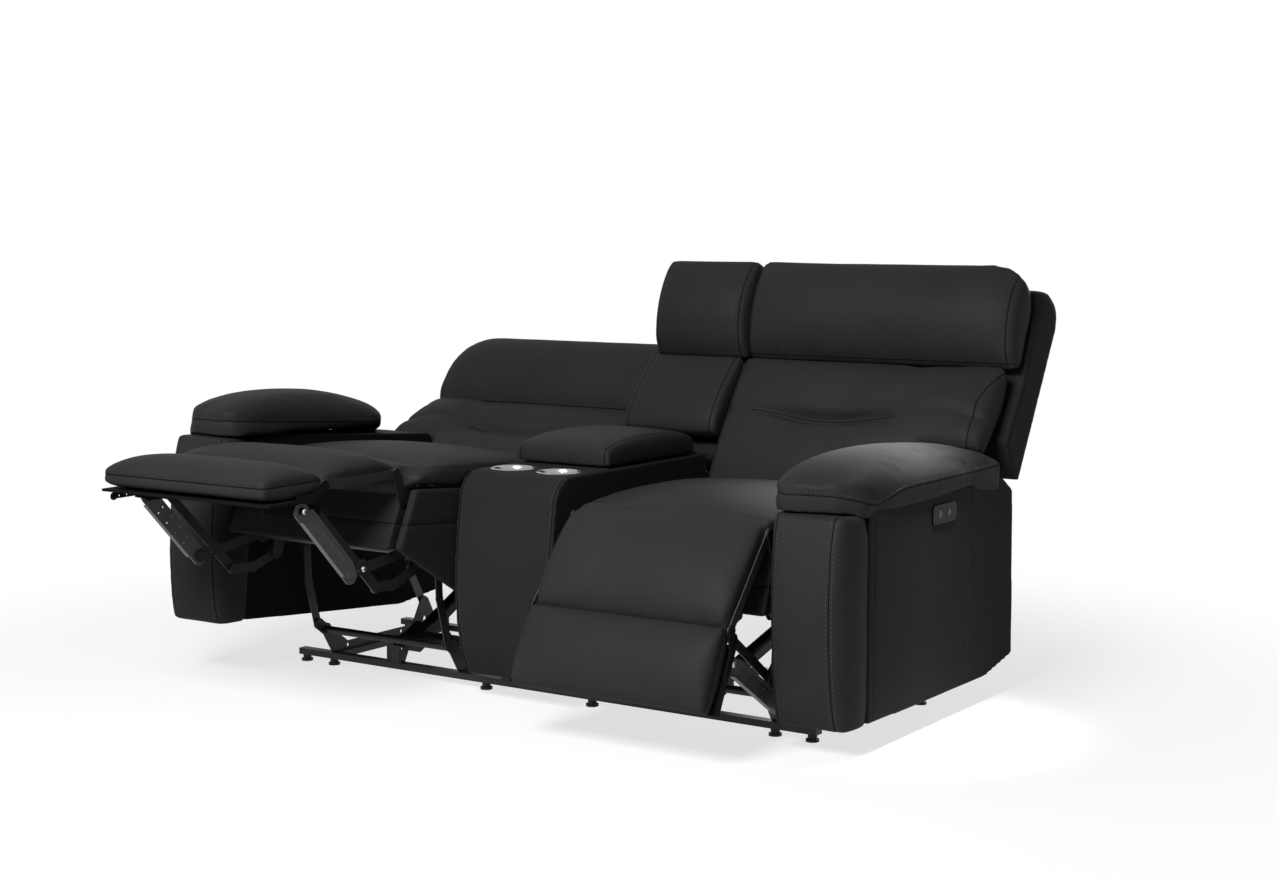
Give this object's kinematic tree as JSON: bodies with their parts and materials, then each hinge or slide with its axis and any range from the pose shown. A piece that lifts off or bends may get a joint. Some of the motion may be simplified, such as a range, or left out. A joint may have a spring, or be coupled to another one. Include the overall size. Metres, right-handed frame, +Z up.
{
  "type": "power reclining loveseat with console",
  "caption": "Power reclining loveseat: reclining seats with fold-out leg rests either side of a storage console with cup wells, on a steel glide frame.",
  "frame": {"origin": "on the floor under the middle of the whole sofa's box, in the pose of the picture", "axes": "+X to the sofa's own left, the right-hand seat of the picture; +Y to its back; +Z up"},
  "size_m": [1.824, 1.7061, 1.0345],
  "materials": {
    "seat_leather": "satin",
    "panel_leather": "satin",
    "frame_steel": "satin",
    "link_steel": "satin",
    "channel_steel": "satin",
    "spring_steel": "satin",
    "plywood": "matte",
    "liner_board": "matte",
    "cup_steel": "satin",
    "glide_plastic": "matte",
    "motor_plastic": "matte",
    "carriage_plastic": "matte",
    "bezel_plastic": "gloss",
    "button_plastic": "satin"
  },
  "bodies": {
    "base": {"base_rails": "frame_steel", "floor_glides": "glide_plastic", "console_box": "panel_leather", "cup_wells": "cup_steel", "console_back_shell": "panel_leather", "console_back_cushion": "seat_leather", "console_headrest": "seat_leather"},
    "lid": {"console_lid": "seat_leather"},
    "left_front_links": {"left_front_links": "link_steel"},
    "left_rear_links": {"left_rear_links": "link_steel"},
    "left_seat": {"left_side_plates": "frame_steel", "left_seat_frame": "plywood", "left_seat_springs": "spring_steel", "left_seat_cushion": "seat_leather", "left_seat_apron": "panel_leather", "left_arm_box": "panel_leather", "left_arm_bolster": "seat_leather", "left_arm_pad": "seat_leather", "left_switch_panel": "bezel_plastic"},
    "left_back": {"left_back_shell": "panel_leather", "left_back_cushion": "seat_leather", "left_headrest": "seat_leather", "left_back_hinges": "link_steel"},
    "left_upper_pad": {"left_leg_pad": "seat_leather"},
    "left_footrest": {"left_footrest_board": "liner_board", "left_footrest_pad": "seat_leather"},
    "left_crank": {"left_crank_link": "link_steel"},
    "left_long_link": {"left_long_link": "link_steel"},
    "left_tie_link": {"left_tie_link": "link_steel"},
    "left_channel": {"left_channel_link": "channel_steel"},
    "left_motor": {"left_motor": "motor_plastic"},
    "left_carriage": {"left_carriage": "carriage_plastic"},
    "left_open_button": {"left_open_button": "button_plastic"},
    "left_close_button": {"left_close_button": "button_plastic"},
    "right_front_links": {"right_front_links": "link_steel"},
    "right_rear_links": {"right_rear_links": "link_steel"},
    "right_seat": {"right_side_plates": "frame_steel", "right_seat_frame": "plywood", "right_seat_springs": "spring_steel", "right_seat_cushion": "seat_leather", "right_seat_apron": "panel_leather", "right_arm_box": "panel_leather", "right_arm_bolster": "seat_leather", "right_arm_pad": "seat_leather", "right_switch_panel": "bezel_plastic"},
    "right_back": {"right_back_shell": "panel_leather", "right_back_cushion": "seat_leather", "right_headrest": "seat_leather", "right_back_hinges": "link_steel"},
    "right_upper_pad": {"right_leg_pad": "seat_leather"},
    "right_footrest": {"right_footrest_board": "liner_board", "right_footrest_pad": "seat_leather"},
    "right_crank": {"right_crank_link": "link_steel"},
    "right_long_link": {"right_long_link": "link_steel"},
    "right_tie_link": {"right_tie_link": "link_steel"},
    "right_channel": {"right_channel_link": "channel_steel"},
    "right_motor": {"right_motor": "motor_plastic"},
    "right_carriage": {"right_carriage": "carriage_plastic"},
    "right_open_button": {"right_open_button": "button_plastic"},
    "right_close_button": {"right_close_button": "button_plastic"}
  },
  "joints": [
    {"name": "console_lid_hinge", "type": "hinge", "parent": "base", "child": "lid", "pos_m": [0, 0.368, 0.559], "axis": [-1, 0, 0], "range_deg": [0, 80]},
    {"name": "left_recline", "type": "hinge", "parent": "base", "child": "left_front_links", "pos_m": [-0.445, -0.193, 0.115], "axis": [1, 0, 0], "range_deg": [-58.3, 0]},
    {"name": "left_seat_tilt", "type": "hinge", "parent": "left_front_links", "child": "left_seat", "pos_m": [-0.445, -0.22768, 0.32678], "axis": [1, 0, 0], "range_deg": [0, 62.82]},
    {"name": "left_rear_link_swing", "type": "hinge", "parent": "base", "child": "left_rear_links", "pos_m": [-0.445, 0.219, 0.11], "axis": [1, 0, 0], "range_deg": [-68.42, 0]},
    {"name": "left_back_recline", "type": "hinge", "parent": "left_seat", "child": "left_back", "pos_m": [-0.445, 0.09335, 0.41608], "axis": [1, 0, 0], "range_deg": [0, 26.02]},
    {"name": "left_motor_tilt", "type": "hinge", "parent": "base", "child": "left_motor", "pos_m": [-0.445, -0.114, 0.078], "axis": [1, 0, 0], "range_deg": [-11.07, 0]},
    {"name": "left_carriage_slide", "type": "slide", "parent": "left_motor", "child": "left_carriage", "axis": [0, 0.8953, 0.4455], "range_m": [0, 0.11424]},
    {"name": "left_leg_rest", "type": "hinge", "parent": "left_seat", "child": "left_upper_pad", "pos_m": [-0.445, -0.42732, 0.55536], "axis": [-1, 0, 0], "range_deg": [-65, 0]},
    {"name": "left_footrest_fold", "type": "hinge", "parent": "left_upper_pad", "child": "left_footrest", "pos_m": [-0.445, -0.66731, 0.55326], "axis": [-1, 0, 0], "range_deg": [-20.02, 0]},
    {"name": "left_crank_swing", "type": "hinge", "parent": "left_seat", "child": "left_crank", "pos_m": [-0.445, -0.37194, 0.36683], "axis": [1, 0, 0], "range_deg": [0, 112.97]},
    {"name": "left_long_link_swing", "type": "hinge", "parent": "left_crank", "child": "left_long_link", "pos_m": [-0.445, -0.52055, 0.3446], "axis": [1, 0, 0], "range_deg": [-93.58, 0]},
    {"name": "left_tie_swing", "type": "hinge", "parent": "left_seat", "child": "left_tie_link", "pos_m": [-0.445, -0.32802, 0.31573], "axis": [1, 0, 0], "range_deg": [0, 123.61]},
    {"name": "left_channel_swing", "type": "hinge", "parent": "left_footrest", "child": "left_channel", "pos_m": [-0.445, -0.72607, 0.50225], "axis": [1, 0, 0], "range_deg": [-58.48, 0]},
    {"name": "left_open_button_press", "type": "slide", "parent": "left_seat", "child": "left_open_button", "axis": [1, 0, 0], "range_m": [0, 0.0025], "stiffness_N_per_m": 900},
    {"name": "left_close_button_press", "type": "slide", "parent": "left_seat", "child": "left_close_button", "axis": [1, 0, 0], "range_m": [0, 0.0025], "stiffness_N_per_m": 900},
    {"name": "right_recline", "type": "hinge", "parent": "base", "child": "right_front_links", "pos_m": [0.445, -0.193, 0.115], "axis": [1, 0, 0], "range_deg": [0, 58.3]},
    {"name": "right_seat_tilt", "type": "hinge", "parent": "right_front_links", "child": "right_seat", "pos_m": [0.445, -0.03104, 0.25579], "axis": [1, 0, 0], "range_deg": [-62.82, 0]},
    {"name": "right_rear_link_swing", "type": "hinge", "parent": "base", "child": "right_rear_links", "pos_m": [0.445, 0.219, 0.11], "axis": [1, 0, 0], "range_deg": [0, 68.42]},
    {"name": "right_back_recline", "type": "hinge", "parent": "right_seat", "child": "right_back", "pos_m": [0.445, 0.282, 0.37], "axis": [1, 0, 0], "range_deg": [-26.02, 0]},
    {"name": "right_motor_tilt", "type": "hinge", "parent": "base", "child": "right_motor", "pos_m": [0.445, -0.114, 0.078], "axis": [1, 0, 0], "range_deg": [0, 11.07]},
    {"name": "right_carriage_slide", "type": "slide", "parent": "right_motor", "child": "right_carriage", "axis": [0, 0.9641, 0.2657], "range_m": [-0.11424, 0]},
    {"name": "right_leg_rest", "type": "hinge", "parent": "right_seat", "child": "right_upper_pad", "pos_m": [0.445, -0.248, 0.468], "axis": [-1, 0, 0], "range_deg": [-20, 45]},
    {"name": "right_footrest_fold", "type": "hinge", "parent": "right_upper_pad", "child": "right_footrest", "pos_m": [0.445, -0.40227, 0.28415], "axis": [-1, 0, 0], "range_deg": [-6.17, 13.87]},
    {"name": "right_crank_swing", "type": "hinge", "parent": "right_seat", "child": "right_crank", "pos_m": [0.445, -0.178, 0.2844], "axis": [1, 0, 0], "range_deg": [-72.88, 32.4]},
    {"name": "right_long_link_swing", "type": "hinge", "parent": "right_crank", "child": "right_long_link", "pos_m": [0.445, -0.18884, 0.13453], "axis": [1, 0, 0], "range_deg": [-30.07, 67.63]},
    {"name": "right_tie_swing", "type": "hinge", "parent": "right_seat", "child": "right_tie_link", "pos_m": [0.445, -0.1302, 0.2369], "axis": [1, 0, 0], "range_deg": [-76.33, 33.93]},
    {"name": "right_channel_swing", "type": "hinge", "parent": "right_footrest", "child": "right_channel", "pos_m": [0.445, -0.38303, 0.20875], "axis": [1, 0, 0], "range_deg": [-22.16, 49.83]},
    {"name": "right_open_button_press", "type": "slide", "parent": "right_seat", "child": "right_open_button", "axis": [-1, 0, 0], "range_m": [0, 0.0025], "stiffness_N_per_m": 900},
    {"name": "right_close_button_press", "type": "slide", "parent": "right_seat", "child": "right_close_button", "axis": [-1, 0, 0], "range_m": [0, 0.0025], "stiffness_N_per_m": 900}
  ],
  "couplings": [
    {"joint": "left_seat_tilt", "follows": "left_recline", "ratio": -1.0772},
    {"joint": "left_rear_link_swing", "follows": "left_recline", "ratio": 1.1732},
    {"joint": "left_back_recline", "follows": "left_recline", "ratio": -0.44597},
    {"joint": "left_motor_tilt", "follows": "left_recline", "ratio": 0.18956},
    {"joint": "left_carriage_slide", "follows": "left_recline", "m_per_rad": -0.11217},
    {"joint": "left_footrest_fold", "follows": "left_leg_rest", "ratio": 0.30769},
    {"joint": "left_crank_swing", "follows": "left_leg_rest", "ratio": -1.7377},
    {"joint": "left_long_link_swing", "follows": "left_leg_rest", "ratio": 1.4394},
    {"joint": "left_tie_swing", "follows": "left_leg_rest", "ratio": -1.9014},
    {"joint": "left_channel_swing", "follows": "left_leg_rest", "ratio": 0.89934},
    {"joint": "right_seat_tilt", "follows": "right_recline", "ratio": -1.0772},
    {"joint": "right_rear_link_swing", "follows": "right_recline", "ratio": 1.1732},
    {"joint": "right_back_recline", "follows": "right_recline", "ratio": -0.44597},
    {"joint": "right_motor_tilt", "follows": "right_recline", "ratio": 0.18956},
    {"joint": "right_carriage_slide", "follows": "right_recline", "m_per_rad": -0.11217},
    {"joint": "right_footrest_fold", "follows": "right_leg_rest", "ratio": 0.30769},
    {"joint": "right_crank_swing", "follows": "right_leg_rest", "ratio": -1.619},
    {"joint": "right_long_link_swing", "follows": "right_leg_rest", "ratio": 1.5025},
    {"joint": "right_tie_swing", "follows": "right_leg_rest", "ratio": -1.6957},
    {"joint": "right_channel_swing", "follows": "right_leg_rest", "ratio": 1.1069}
  ]
}
